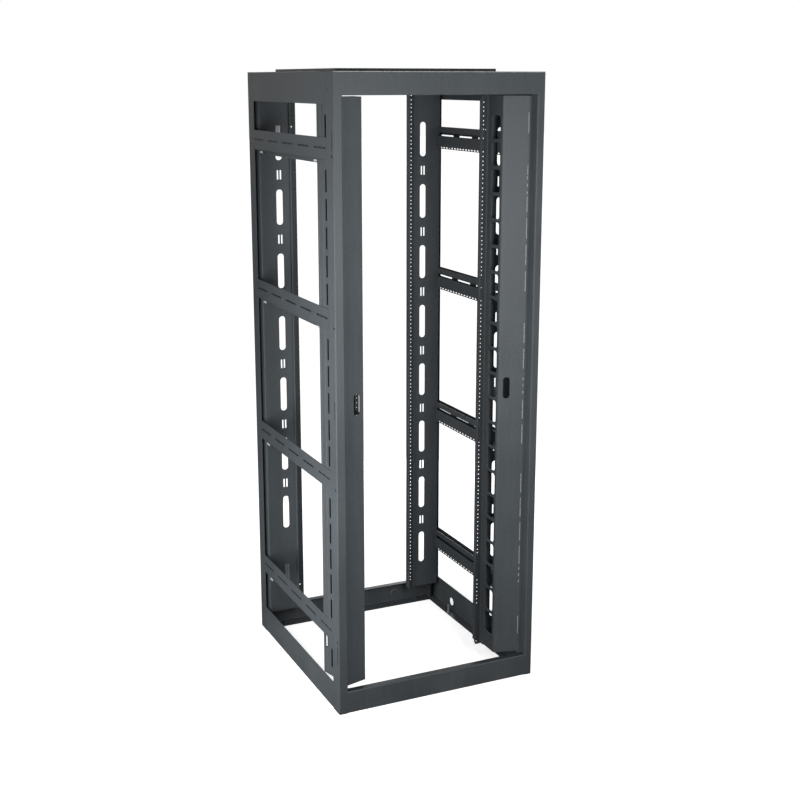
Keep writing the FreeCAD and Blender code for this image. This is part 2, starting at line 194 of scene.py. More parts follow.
def patternOf(width, low, high, lanes, breaks):
    # across the sheet: plain strips divided at the folds, lanes with holes, and stitches where the two meet
    pattern = FlatPattern()
    here, edge = 0.0, None
    for lane in sorted(lanes, key=lambda one: one[0]) + [None]:
        end = lane[0] if lane else width
        plain = [value for value in breaks if here + tiny["gap"] < value < end - tiny["gap"]]
        plain = ([here] if edge is None else []) + plain + ([] if lane else [end])
        if len(plain) > 1:
            pattern.grid(plain, [low, high])
        if plain:
            if edge is not None:
                pattern.stitch(edge, column(plain[0], [low, high]))
            edge = column(plain[-1], [low, high])
        if lane:
            border = cutLane(pattern, lane, low, high)
            if lane[0] > edge[0][0]:
                pattern.stitch(edge, column(lane[0], border))
            here, edge = lane[1], column(lane[1], border)
    return pattern.merged()


def pathOf(profile):
    # a profile's corners, the direction of each straight line, and the length from the start to each corner
    path = np.array(profile, float)
    legs = np.diff(path, axis=0)
    lengths = np.hypot(legs[:, 0], legs[:, 1])
    return path, legs / lengths[:, None], np.concatenate([[0], np.cumsum(lengths)])


def cornersOf(profile):
    # where each corner lies along the sheet
    return pathOf(profile)[2]


def foldAt(unit, radii, i):
    # the angle between two lines, the radius of the fold on the path, and how far the fold reaches from
    # the corner: the radius times the tangent of half the angle
    angle = math.atan2(unit[i - 1][0] * unit[i][1] - unit[i - 1][1] * unit[i][0], unit[i - 1] @ unit[i])
    radius = radii[i - 1] + (sheet if angle > 0 else 0)
    return angle, radius, radius * math.tan(abs(angle) / 2)


def foldedPoints(profile, radii, a, depth):
    # a runs along the profile's straight lines; near a corner the point turns round it on an arc
    # depth moves the point to the left-hand side of the profile
    path, unit, starts = pathOf(profile)
    left = np.stack([-unit[:, 1], unit[:, 0]], 1)
    leg = np.clip(np.searchsorted(starts, a, side="right") - 1, 0, len(unit) - 1)
    points = path[leg] + unit[leg] * (a - starts[leg])[:, None] + left[leg] * depth[:, None]
    for i in range(1, len(unit)):
        angle, radius, reach = foldAt(unit, radii, i)
        way = 1 if angle > 0 else -1
        near = np.abs(a - starts[i]) <= reach + tiny["rounding"]
        share = (a[near] - starts[i] + reach) / (2 * reach) * abs(angle)
        away = -way * left[i - 1]
        centre = path[i] - unit[i - 1] * reach - away * radius
        ray = np.sin(share)[:, None] * unit[i - 1] + np.cos(share)[:, None] * away
        points[near] = centre + ray * (radius - way * depth[near])[:, None]
    return points


def foldBreaks(profile, radii):
    # the values of a at which the sheet is divided, so that each fold is round, and the sheet's width
    unit, starts = pathOf(profile)[1:]
    values = []
    for i in range(1, len(unit)):
        angle, reach = foldAt(unit, radii, i)[::2]
        count = max(2, round(bends["steps"] * abs(angle) / (math.pi / 2)))
        values += list(np.linspace(starts[i] - reach, starts[i] + reach, count + 1))
    return values, starts[-1]


def meshObject(name, points, quads, triangles):
    # one smooth-shaded object from points in metres and faces of four and three corners
    mesh = bpy.data.meshes.new(name)
    mesh.vertices.add(len(points))
    mesh.vertices.foreach_set("co", points.astype(np.float32).ravel())
    loops = np.concatenate([quads.ravel(), triangles.ravel()]).astype(np.int32)
    totals = np.concatenate([np.full(len(quads), 4), np.full(len(triangles), 3)])
    mesh.loops.add(len(loops))
    mesh.loops.foreach_set("vertex_index", loops)
    mesh.polygons.add(len(totals))
    mesh.polygons.foreach_set("loop_start", np.concatenate([[0], np.cumsum(totals)[:-1]]).astype(np.int32))
    mesh.polygons.foreach_set("loop_total", totals.astype(np.int32))
    mesh.update(calc_edges=True)
    mesh.validate()
    mesh.shade_smooth()
    piece = bpy.data.objects.new(name, mesh)
    bpy.context.scene.collection.objects.link(piece)
    return piece


def finishEdges(piece, width):
    # all sharp edges are rounded a little, and the flat faces keep their flat look
    bevel = piece.modifiers.new("edges", "BEVEL")
    bevel.width = width * mm
    bevel.segments = bends["edgeSteps"]
    bevel.limit_method = "ANGLE"
    bevel.angle_limit = math.radians(bends["edgeAngle"])
    bevel.use_clamp_overlap = True
    normals = piece.modifiers.new("normals", "WEIGHTED_NORMAL")
    normals.keep_sharp = False
    normals.weight = bends["normalWeight"]


# which of the profile's two measures (0, 1) and the piece's length (2) go across, back and up
layouts = {"upright": [0, 1, 2], "alongDepth": [0, 2, 1], "alongWidth": [2, 0, 1]}


def folded(profile, low, high, layout, lanes=(), radii=None, ends=None, reach=tiny["gap"]):
    # a closed shape: the folded pattern, the same one a sheet's thickness deeper, and walls on all free edges
    # ends: a, shift of the low and of the high end; the shift fades to nothing along the reach
    radii = radii or [bends["inside"]] * (len(profile) - 2)
    breaks, width = foldBreaks(profile, radii)
    if ends:
        breaks = sorted(breaks + [station[0] for station in ends])
    flat, quads, triangles, tone = patternOf(width, low, high, lanes, breaks)
    a, r = flat[:, 0], flat[:, 1].copy()
    if ends:
        stations = np.array(ends, float)
        nearLow, nearHigh = np.clip(1 - (r - low) / reach, 0, 1), np.clip(1 - (high - r) / reach, 0, 1)
        r += np.interp(a, stations[:, 0], stations[:, 1]) * nearLow
        r += np.interp(a, stations[:, 0], stations[:, 2]) * nearHigh
    outer = foldedPoints(profile, radii, a, np.zeros_like(a))
    inner = foldedPoints(profile, radii, a, np.full_like(a, sheet))
    solid = np.concatenate([np.column_stack([outer, r]), np.column_stack([inner, r])])
    n = len(flat)
    sides = np.concatenate([quads[:, [0, 1]], quads[:, [1, 2]], quads[:, [2, 3]], quads[:, [3, 0]],
                            triangles[:, [0, 1]], triangles[:, [1, 2]], triangles[:, [2, 0]]])
    codes = sides.min(1) * n + sides.max(1)
    firsts, uses = np.unique(codes, return_index=True, return_counts=True)[1:]
    rim = sides[firsts[uses == 1]]
    walls = np.column_stack([rim[:, 1], rim[:, 0], rim[:, 0] + n, rim[:, 1] + n])
    quads = np.concatenate([quads, quads[:, ::-1] + n, walls])
    triangles = np.concatenate([triangles, triangles[:, ::-1] + n])
    return outward(solid[:, layouts[layout]], quads, triangles, np.concatenate([tone, tone]))


def outward(points, quads, triangles, tone):
    # turns all faces of one closed shape outwards: the sign of its volume tells which way they look
    # the volume is the sum, over its triangles, of a corner times the cross product of the two others
    fans = np.concatenate([quads[:, [0, 1, 2]], quads[:, [0, 2, 3]], triangles])
    corners = points[fans]
    volume = np.einsum("ij,ij->i", corners[:, 0], np.cross(corners[:, 1], corners[:, 2])).sum()
    if volume < 0:
        quads, triangles = quads[:, ::-1], triangles[:, ::-1]
    return points, quads, triangles, tone


noTriangles = np.zeros((0, 3), int)


def box(low, high, tone=0.0):
    # a block between two corners
    corners = np.array([[x, y, z] for x in (low[0], high[0]) for y in (low[1], high[1])
                        for z in (low[2], high[2])])
    quads = np.array([[0, 1, 3, 2], [4, 6, 7, 5], [0, 4, 5, 1], [2, 3, 7, 6], [0, 2, 6, 4], [1, 5, 7, 3]])
    return outward(corners.astype(float), quads, noTriangles, np.full(8, tone))


def turned(centre, axis, outline, steps, tone=0.0):
    # a closed solid of revolution: radii and heights along the axis, turned round it in equal steps
    outline = np.array(outline, float)
    angle = 2 * np.pi * np.arange(steps) / steps
    circle = np.stack([np.cos(angle), np.sin(angle)], 1)
    rings = [np.column_stack([circle * radius, np.full(steps, height)]) for radius, height in outline]
    points = np.concatenate(rings)
    i, j = np.meshgrid(np.arange(len(outline) - 1), np.arange(steps), indexing="ij")
    k, following = (i * steps + j).ravel(), (i * steps + (j + 1) % steps).ravel()
    quads = np.stack([k, following, following + steps, k + steps], 1)
    ends = []
    for first, height in ((0, outline[0][1]), ((len(outline) - 1) * steps, outline[-1][1])):
        middle = len(points)
        points = np.concatenate([points, [[0.0, 0.0, height]]])
        ring = first + np.arange(steps)
        fan = np.stack([ring, np.roll(ring, -1), np.full(steps, middle)], 1)
        ends.append(fan[:, ::-1] if first == 0 else fan)
    order = {"x": [2, 0, 1], "y": [1, 2, 0], "z": [0, 1, 2]}[axis]
    return outward(points[:, order] + np.array(centre), quads, np.concatenate(ends), np.full(len(points), tone))


def pieceOf(name, shapes, mirror=False, edge=bends["edgeRound"]):
    # one object from closed shapes given in millimetres from the left side, the front and the floor
    # mirror puts it on the right-hand side and turns its faces back outwards
    starts = np.concatenate([[0], np.cumsum([len(shape[0]) for shape in shapes])])
    points = np.concatenate([shape[0] for shape in shapes]) * mm + np.array([leftSide, frontSide, 0.0])
    quads = np.concatenate([shape[1] + start for shape, start in zip(shapes, starts)])
    triangles = np.concatenate([shape[2] + start for shape, start in zip(shapes, starts)])
    if mirror:
        points[:, 0] *= -1
        quads, triangles = quads[:, ::-1], triangles[:, ::-1]
    piece = meshObject(name, points, quads, triangles)
    tones = piece.data.attributes.new("tone", "FLOAT", "POINT")
    tones.data.foreach_set("value", np.concatenate([shape[3] for shape in shapes]).astype(np.float32))
    finishEdges(piece, edge)
    return piece


# The left half's pieces follow, from the left side, the front and the floor; the right half mirrors them.
# tone: 0 plain coat, 1 bare metal, 2 nearly white, below 0 darker down to near black at -1.5; some of these
# tones are painted light and painted shade, as noted where they are set
sizes = {"width": 744.0, "depth": 810.0, "height": 2111.0}
rack = {"unit": 44.45, "units": 44, "low": 79.0, "high": 2034.8, "opening": 147.0,
        "slotTop": 1868.1125, "slotAbove": 78.9, "slots": 20, "slotsPerBar": 6, "bars": 4}
rackMiddle = (rack["low"] + rack["high"]) / 2
slotPitch = 2 * rack["unit"]
slotHeights = ([rack["slotTop"] + rack["slotAbove"]]
               + [rack["slotTop"] - slotPitch * i for i in range(rack["slots"])])
# from low to high: the side slots that no crossbar covers, and the holes that join two racks
openSlots = [z for i, z in enumerate(slotHeights) if (i - 1) % rack["slotsPerBar"]][::-1]
joiningHeights = [z - rack["unit"] / 4 for z in slotHeights[1::rack["slotsPerBar"]]][::-1]
barHeights = [rack["slotTop"] + rack["unit"] / 5 - rack["slotsPerBar"] * slotPitch * i
              for i in range(rack["bars"])]
bodyPieces = []


def bothSides(name, node, build):
    # one piece for each side, which stands for the CAD node of that side
    for side in ("left", "right"):
        piece = build(name.format(side), side == "right")
        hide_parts(node.format(side))
        bodyPieces.append(piece)


# holes and slots as width, height and corner radius; a lane's number is half its width
post = {"face": 28.0, "wider": 4.0, "under": 0.15, "return": 39.0, "flat": 54.0, "step": 3.0, "depth": 142.0,
        "stepRound": 1.5, "foot": (98.0, 115.0), "footEdge": 0.8, "footReach": 140.0,
        "ribs": (131.0, 97.0), "rib": 1.6, "ribHalf": (4.0, 2.0), "ribRound": 0.8,
        "slot": (13.0, 70.0, 4.45), "slotAt": 68.5, "slotLane": 8.0,
        "lowSlot": (16.0, 47.0, 7.9), "lowSlotAt": (115.0, 220.0), "lowSlotLane": 9.5,
        "hole": (9.0, 9.0, 4.5), "holeAt": 12.0, "holeLane": 6.5, "slit": (4.0, 64.0, 1.9), "slitEnd": 130.0,
        "pilot": (5.0, 5.0, 2.5), "pilotAt": 40.0, "pilotLane": 4.0, "pilots": (55.0, 107.0, 2056.0)}


def frontPost(name, mirror):
    # from above: the side with two ribs, a step out by the sheet, the flush side, the face and the return
    face = post["face"] + (0.0 if mirror else post["wider"])
    stepAt = post["flat"] + post["step"]
    foot, crest = post["ribHalf"]
    top = sheet - post["rib"]
    ribs = []
    for middle in post["ribs"]:
        ribs += [(sheet, middle + foot), (top, middle + crest), (top, middle - crest), (sheet, middle - foot)]
    profile = [(sheet, post["depth"])] + ribs + [(sheet, stepAt), (0.0, post["flat"]), (0.0, post["under"]),
                                                 (face, post["under"]), (face, post["return"])]
    radii = [post["ribRound"]] * len(ribs) + [post["stepRound"]] * 2 + [bends["inside"]] * 2
    starts = cornersOf(profile)
    stepped, corner = starts[len(ribs) + 1], starts[len(ribs) + 3]
    slotAt = stepped - (post["slotAt"] - stepAt)
    lowAt = post["depth"] - post["lowSlotAt"][0]
    holeAt, pilotAt = corner - post["holeAt"], corner - post["pilotAt"]
    small = [[(holeAt, z, *post["hole"])] for z in joiningHeights]
    small += [[(holeAt, z, *post["slit"])]
              for z in (rack["low"] + post["slitEnd"], rackMiddle, rack["high"] - post["slitEnd"])]
    slots = [[(slotAt, z, *post["slot"])] for z in openSlots]
    pilots = [[(pilotAt, z, *post["pilot"])] for z in post["pilots"]]
    lowSlot = [[(lowAt, post["lowSlotAt"][1], *post["lowSlot"])]]
    lanes = [laneOf(lowAt, post["lowSlotLane"], lowSlot, arc["hole"]),
             laneOf(slotAt, post["slotLane"], slots, arc["hole"]),
             laneOf(holeAt, post["holeLane"], sorted(small, key=lambda row: row[0][1]), arc["hole"]),
             laneOf(pilotAt, post["pilotLane"], pilots, arc["pilot"])]
    # the side ends above the floor on a slant; the face and the return reach the floor
    slant = [(0.0, post["foot"][0], 0.0), (stepped - post["footEdge"], post["foot"][1], 0.0),
             (stepped + post["footEdge"], 0.0, 0.0), (starts[-1], 0.0, 0.0)]
    return pieceOf(name, [folded(profile, 0.0, sizes["height"], "upright", lanes, radii, slant,
                                 post["footReach"])], mirror)


bothSides("front_{}_post_folded", "front_{}_post", frontPost)
print("front posts")

rearPostSizes = {"side": 60.0}
rearEnd = sizes["depth"] - rearPostSizes["side"]


def rearPost(name, mirror):
    # from above: the return, the face and the side, which has the joining holes
    back = sizes["depth"]
    profile = [(post["face"], back - post["return"]), (post["face"], back), (0.0, back), (0.0, rearEnd)]
    at = cornersOf(profile)[2] + post["holeAt"]
    lane = laneOf(at, post["holeLane"], [[(at, z, *post["hole"])] for z in joiningHeights], arc["hole"])
    return pieceOf(name, [folded(profile, 0.0, sizes["height"], "upright", [lane])], mirror)


bothSides("rear_{}_post_folded", "rear_{}_post", rearPost)
print("rear posts")


panel = {"landing": 6.0, "lap": 2.0, "webInset": 122.0, "webStart": 62.0, "depth": 160.0, "rounds": [0.4, 3.0],
         "cutout": (55.0, 76.0, 10.0), "cutoutFront": 76.0, "cutoutEnd": 102.0, "cutouts": 21,
         "cutoutLane": 30.5, "latch": (24.0, 75.0, 11.9), "latchShare": 0.68, "latchLane": 16.0,
         # slit and the short ones: painted patches of light beside the side slots, in the bare-metal tone
         "slit": (2.4, 68.0), "shortLightPatches": [(1682.0, 52.0), (1796.0, 34.0)], "stripAt": 2.0, "stripTone": 1.0,
         "clip": (3.0, 1.2, 10.0), "clipStep": 24.0, "clips": (371.0, 1063.0, 1745.0), "clipRoom": 60.0}


def cablePanel(name, mirror):
    # from above: a landing on the post, a slanted face with the latch slot, and a web with the cable cutouts
    left, front = post["face"] + panel["landing"], post["return"]
    profile = [(post["face"] - panel["lap"], front), (left, front), (panel["webInset"], panel["webStart"]),
               (panel["webInset"], panel["depth"])]
    starts = cornersOf(profile)
    latchAt = starts[1] + (starts[2] - starts[1]) * panel["latchShare"]
    cutAt = starts[2] + panel["cutoutFront"] + panel["cutout"][0] / 2 - panel["webStart"]
    heights = np.linspace(rack["low"] + panel["cutoutEnd"], rack["high"] - panel["cutoutEnd"], panel["cutouts"])
    lanes = [laneOf(latchAt, panel["latchLane"], [[(latchAt, rackMiddle, *panel["latch"])]], arc["latch"]),
             laneOf(cutAt, panel["cutoutLane"], [[(cutAt, z, *panel["cutout"])] for z in heights], arc["oval"])]
    shapes = [folded(profile, rack["low"], rack["high"], "upright", lanes, panel["rounds"])]
    # bright strips: bare-metal clips in threes, and beside each open side slot that no clip is near a painted
    # patch of the light that comes in through that slot, drawn as a bare-metal slit
    clipWidth, thick, clipLength = panel["clip"]
    lightPatchWidth, lightPatchLength = panel["slit"]
    slotLightPatches = [(z, lightPatchLength) for z in openSlots
             if min(abs(z - clip) for clip in panel["clips"]) > panel["clipRoom"]]
    strips = [(z, clipLength, clipWidth) for middle in panel["clips"]
              for z in middle + panel["clipStep"] * np.arange(-1, 2)]
    strips += [(z, length, lightPatchWidth) for z, length in sorted(slotLightPatches + panel["shortLightPatches"])]
    left += panel["stripAt"]
    for z, length, width in strips:
        shapes.append(box((left, front - thick, z - length / 2), (left + width, front + sheet, z + length / 2),
                          panel["stripTone"]))
    return pieceOf(name, shapes, mirror)


bothSides("front_{}_cable_panel_folded", "front_{}_cable_panel", cablePanel)
print("cable panels")


oval = {"size": (24.0, 127.0, 11.9), "at": 85.0, "pitch": 231.7, "count": 8, "lacing": (6.0, 33.0, 1.0),
        "bar": 5.0, "lane": 16.0}
ovalHeights = [rackMiddle + oval["pitch"] * (i - (oval["count"] - 1) / 2) for i in range(oval["count"])]
web = {"edge": 4.0, "rear": 75.0, "rearInset": 12.0, "rearShort": 18.0,
       "low": (12.0, 60.0, 3.0), "lowAt": 7.5, "lowLane": (0.8, 14.4), "lift": 20.0, "liftEnds": (60.0, 70.0)}
# depths are measured from the rear web's face
cover = {"half": 14.0, "depth": (2.2, 3.4), "plates": (-4.6, 4.6), "plateHalf": 3.8, "plateBack": 2.4,
         "plateEnds": (8.0, 10.0),
         # the upper place's plates go past bare metal to nearly white: partly their own lighter colour, partly
         # painted light where they stand in shade
         "places": [{"low": 1872.0, "high": 1936.0, "front": 2.0, "tone": 1.7},
                    {"low": 186.0, "high": 276.0, "front": -0.4, "tone": 0.5}]}


def ovalLane(start, first=0):
    # ovals with a pair of lacing slots between each two; start is a at the frame's side
    at = start + oval["at"]
    off = (oval["bar"] + oval["lacing"][0]) / 2
    rows = []
    for low, high in zip(ovalHeights[first:], ovalHeights[first + 1:] + [None]):
        rows.append([(at, low, *oval["size"])])
        if high:
            rows.append([(at + side * off, (low + high) / 2, *oval["lacing"]) for side in (-1, 1)])
    return laneOf(at, oval["lane"], rows, arc["oval"])


def frontWeb(name, mirror):
    # a flat wall at the post's back edge; on the left its lower end is lifted beside the post's foot
    depth = post["depth"] - sheet
    profile = [(web["edge"], depth), (panel["webInset"] - sheet, depth)]
    lowLane = (*web["lowLane"], [[(web["lowAt"], post["lowSlotAt"][1], *web["low"])]], arc["hole"])
    lift = 0.0 if mirror else web["lift"]
    whole, none = web["liftEnds"]
    ends = [(0.0, lift, 0.0), (whole, lift, 0.0), (none, 0.0, 0.0), (panel["webInset"], 0.0, 0.0)]
    return pieceOf(name, [folded(profile, rack["low"], rack["high"], "upright",
                                 [lowLane, ovalLane(-web["edge"])], ends=ends)], mirror)


def rearWeb(name, mirror):
    # a wall with a fold back to the post; on the left the lowest oval is closed and plates cover two places
    back, inset = sizes["depth"] - web["rear"], web["rearInset"]
    profile = [(inset, sizes["depth"] - sheet), (inset, back), (rack["opening"] - web["rearShort"], back)]
    lane = ovalLane(cornersOf(profile)[1] - inset, 0 if mirror else 1)
    shapes = [folded(profile, rack["low"], rack["high"], "upright", [lane])]
    at, half = oval["at"], cover["plateHalf"]
    for place in [] if mirror else cover["places"]:
        low, high = place["low"], place["high"]
        shapes.append(box((at - cover["half"], back + cover["depth"][0], low),
                          (at + cover["half"], back + cover["depth"][1], high)))
        for side in cover["plates"]:
            shapes.append(box((at + side - half, back + place["front"], low + cover["plateEnds"][0]),
                              (at + side + half, back + cover["plateBack"], high - cover["plateEnds"][1]),
                              place["tone"]))
    return pieceOf(name, shapes, mirror)


bothSides("front_{}_web_folded", "front_{}_web", frontWeb)
bothSides("rear_{}_web_folded", "rear_{}_web", rearWeb)
print("webs")


# first and pitch: of the three holes in a unit
rail = {"face": 29.0, "lip": 15.0, "rearLip": 26.0, "lipShort": 13.0, "lipEnd": 1.6, "overrun": 5.0,
        "lap": 16.0, "standoff": 12.0, "rearLeg": 24.0, "rounds": [0.5, 1.5], "rearRounds": [1.5, 0.5],
        "first": 6.35, "pitch": 15.875, "hole": (4.4, 4.4, 2.2), "holeAt": 7.56, "holeLane": 5.5,
        "fixing": (5.2, 5.2, 2.6), "fixingAt": 16.0, "fixingLane": 2.8, "fixings": (178.8, 1921.8),
        "laneTone": -1.0}
unitHoles = [rack["low"] + unit * rack["unit"] + rail["first"] + rail["pitch"] * hole
             for unit in range(rack["units"]) for hole in range(3)]


def holeColumn(at):
    # three holes in each unit, in a dark lane
    rows = [[(at, z, *rail["hole"], rail["laneTone"])] for z in unitHoles]
    return laneOf(at, rail["holeLane"], rows, arc["hole"])


def fixingHoles(at):
    # one small hole near each end
    rows = [[(at, z, *rail["fixing"], rail["laneTone"])] for z in rail["fixings"]]
    return laneOf(at, rail["fixingLane"], rows, arc["pilot"])


def frontRail(name, mirror):
    # from above: the lip behind the inner edge, the face with its holes, and the leg that laps the panel
    back = panel["depth"] + sheet
    edge, leg = rack["opening"], rack["opening"] - rail["face"]
    profile = [(edge - sheet, panel["depth"] + rail["lip"]), (edge - sheet, back), (leg, back),
               (leg, panel["depth"] - rail["lap"])]
    starts = cornersOf(profile)
    short = (rail["lipShort"] + rail["overrun"], -rail["lipShort"])
    ends = [(0.0, *short), (starts[1] - sheet, *short), (starts[1] + rail["lipEnd"], 0.0, 0.0),
            (starts[-1], 0.0, 0.0)]
    lanes = [holeColumn(starts[1] + rail["holeAt"] - sheet), fixingHoles(starts[1] + rail["fixingAt"] - sheet)]
    return pieceOf(name, [folded(profile, rack["low"] - rail["overrun"], rack["high"], "upright", lanes,
                                 rail["rounds"], ends)], mirror)


def rearRail(name, mirror):
    # from above: the leg on the rear web, the face with its holes, and the lip behind the inner edge
    back = sizes["depth"] - web["rear"]
    leg, edge, face = rack["opening"] - rail["rearLeg"], rack["opening"], back - rail["standoff"]
    profile = [(leg, back), (leg, face), (edge, face), (edge, face + rail["rearLip"])]
    corner = cornersOf(profile)[2]
    lanes = [fixingHoles(corner - rail["fixingAt"]), holeColumn(corner - rail["holeAt"])]
    return pieceOf(name, [folded(profile, rack["low"], rack["high"], "upright", lanes,
                                 rail["rearRounds"])], mirror)


bothSides("front_{}_rail_tapped", "front_{}_rack_rail", frontRail)
bothSides("rear_{}_rail_tapped", "rear_{}_rack_rail", rearRail)
print("rack rails")


# hang: how far the inner wall hangs below the channel on the right and on the left
# toothLane: how far it reaches below and above the teeth's middle; frontTabs: bars, from the top, with two tabs
bar = {"height": 70.0, "flange": 24.0, "front": 54.6, "round": [1.5], "fold": 3.2, "gap": 12.0,
       "slot": (6.0, 100.0, 2.9), "slots": 5, "pitch": 146.0, "drop": 32.0, "slotLane": 6.0,
       "hang": (10.0, 14.0), "hangEdge": 1.0, "notch": 8.0,
       "tooth": (5.0, 14.0, 1.0), "toothPitch": 22.0, "toothAt": 5.0, "toothEnd": 20.0, "toothLane": (3.6, 2.8),
       # the block behind the slots is painted shade: it stands in for the dark inside the bar seen through the
       # slots
       "nearBlack": (1.2, 1.9), "slotShadeEnd": 1.0, "slotShadeTone": -1.5,
       "tab": (24.0, 8.0), "tabDepth": (1.0, 3.0), "tabBack": 3.4, "tabGap": 1.0, "tabTone": 1.6,
       "frontTabs": 2}
inFront, inBack = post["depth"] + sheet, sizes["depth"] - web["rear"] - sheet


def crossbar(number):
    middle = barHeights[number - 1]

    def build(name, mirror):
        # an outer wall with slots and a fold below, and an inner wall that ends at the slots' height
        low, high = middle - bar["height"] / 2, middle + bar["height"] / 2
        slotMiddle, flange, at = high - bar["drop"], bar["flange"], bar["drop"]
        profile = [(0.0, high), (0.0, low), (flange - sheet, low)]
        corner = cornersOf(profile)[1]
        places = [sizes["depth"] / 2 + bar["pitch"] * (i - (bar["slots"] - 1) / 2) for i in range(bar["slots"])]
        lane = laneOf(at, bar["slotLane"], [[(at, y, *bar["slot"])] for y in places], arc["hole"])
        ends = [(0.0, 0.0, 0.0), (corner - bar["fold"], 0.0, 0.0),
                (corner + bar["fold"], inFront - bar["front"], inBack - rearEnd)]
        shapes = [folded(profile, bar["front"], rearEnd, "alongDepth", [lane], bar["round"], ends)]

        # the right one has teeth along the lower edge and a strip above the gap
        hang, notch = bar["hang"][0 if mirror else 1], bar["notch"]
        corners = [(0.0, notch, -notch), (hang, notch, -notch), (hang + bar["hangEdge"], 0.0, 0.0)]
        comb = []
        if mirror:
            count = int((inBack - inFront - bar["toothEnd"]) // bar["toothPitch"])
            start = (inBack + inFront) / 2 - bar["toothPitch"] * (count - 1) / 2
            teeth = [[(bar["toothAt"], start + bar["toothPitch"] * i, *bar["tooth"])] for i in range(count)]
            comb = [(bar["toothAt"] - bar["toothLane"][0], bar["toothAt"] + bar["toothLane"][1], teeth,
                     arc["tooth"])]
        shapes.append(folded([(flange, low - hang), (flange, slotMiddle)], inFront, inBack, "alongDepth", comb,
                             ends=corners))
        if mirror:
            shapes.append(folded([(flange, slotMiddle + bar["gap"]), (flange, high)], inFront, inBack,
                                 "alongDepth"))

        # a near-black block behind the slots, painted shade seen through them, and light tabs under the bar
        half, reach = bar["slot"][0] / 2, bar["slot"][1] / 2 - bar["slotShadeEnd"]
        rear = inFront - sheet if mirror else places[-1] + reach
        shapes.append(box((bar["nearBlack"][0], places[0] - reach, slotMiddle - half),
                          (bar["nearBlack"][1], rear, slotMiddle + half), bar["slotShadeTone"]))
        wide, tall = bar["tab"]
        for place in (rearEnd - bar["tabBack"] * wide, inFront)[:2 if number <= bar["frontTabs"] else 1]:
            shapes.append(box((bar["tabDepth"][0], place, low - tall),
                              (bar["tabDepth"][1], place + wide, low - bar["tabGap"]), bar["tabTone"]))
        return pieceOf(name, shapes, mirror)

    return build


for number in range(1, rack["bars"] + 1):
    bothSides("{}_crossbar_" + str(number) + "_folded", "{}_crossbar_" + str(number), crossbar(number))
print("crossbars")


sides = {"baseHeight": 98.0, "topHeight": 99.0, "flange": 36.0, "fold": 3.3, "round": [1.5],
         "feedHole": (63.0, 626.0, 32.0, 32.0, 16.0), "feedHoleLane": (45.0, 85.0),
         "stud": (28.0, 601.0), "studTone": 0.9,
         "studOutline": [(6.5, 0), (6.5, 5), (4, 5), (4, 34), (3.2, 36)]}
cross = {"baseHeight": 79.0, "topHeight": 72.0, "flange": 25.0, "bottomFlange": 53.0, "underlap": 4.0,
         "shadeBehind": 2.6, "shadeBelow": 2.5, "baseShade": -1.1, "rearShade": -0.25,
         "anchor": (14.0, 14.0, 7.0), "anchorAt": (90.0, 30.0), "anchorLane": 12.0,
         "bolt": [(12.0, 0.0), (12.0, 5.0), (6.0, 5.0), (5.2, 9.0)], "boltLow": 1.8, "boltTone": -0.4,
         "knockout": (573.0, 32.0), "knockoutRings": [([(18.0, 0.4), (18.0, -1.0)], 0.5),
                                                      ([(16.6, 0.4), (16.6, -1.8)], -0.25)],
         # line: a thin strip along the top front rail's upper edge in the bare-metal tone, a painted highlight
         "line": (2.0, 0.1, 2.5, 2.8), "highlightTone": 1.0}


def sideRail(low):
    def build(name, mirror):
        # a wall and a flange, at the floor or at the top, which is shorter than the wall
        if low:
            profile = [(0.0, sides["baseHeight"]), (0.0, 0.0), (sides["flange"], 0.0)]
            corner = sides["baseHeight"]
            before = (0.0, 0.0)
            after = (inFront - bar["front"], sizes["depth"] - cross["bottomFlange"] - rearEnd)
        else:
            top = sizes["height"]
            profile = [(sides["flange"], top), (0.0, top), (0.0, top - sides["topHeight"])]
            corner = sides["flange"]
            before = (inFront - bar["front"], inBack - rearEnd)
            after = (0.0, 0.0)
        ends = [(corner - sides["fold"], *before), (corner + sides["fold"], *after)]
        lanes, shapes = [], []
        if low and mirror:
            lanes = [(*sides["feedHoleLane"], [[sides["feedHole"]]], arc["oval"])]
            shapes.append(turned((*sides["stud"], sheet), "z", sides["studOutline"], arc["bolt"],
                                 sides["studTone"]))
        shapes.append(folded(profile, bar["front"], rearEnd, "alongDepth", lanes, sides["round"], ends))
        if low:
            # a plate closes the corner between the flange and the rear rail
            shapes.append(box((sheet, sizes["depth"] - cross["bottomFlange"], 0.0),
                              (post["face"] - cross["underlap"], sizes["depth"] - sheet, sheet)))
        return pieceOf(name, shapes, mirror)

    return build


bothSides("base_{}_rail_folded", "base_{}_rail", sideRail(True))
bothSides("top_{}_rail_folded", "top_{}_rail", sideRail(False))


def crossRail(node, profile, holes=(), extra=(), shade=0.0, paintedShadeFrom=0.0):
    # a profile carried across the rack; what lies behind the front face and above the given height takes the
    # tone given as shade, a painted shade
    reach = post["face"] - cross["underlap"]
    points, quads, triangles, tone = folded(profile, reach, sizes["width"] - reach, "alongWidth", holes)
    tone = np.where((points[:, 1] > cross["shadeBehind"]) & (points[:, 2] > paintedShadeFrom), shade, tone)
    piece = pieceOf(node + "_folded", [(points, quads, triangles, tone)] + list(extra))
    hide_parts(node)
    bodyPieces.append(piece)


anchorsAcross = (cross["anchorAt"][0], sizes["width"] - cross["anchorAt"][0])


def anchorLane(at):
    # the two floor anchor holes of one rail
    return [laneOf(at, cross["anchorLane"], [[(at, x, *cross["anchor"])] for x in anchorsAcross], arc["hole"])]


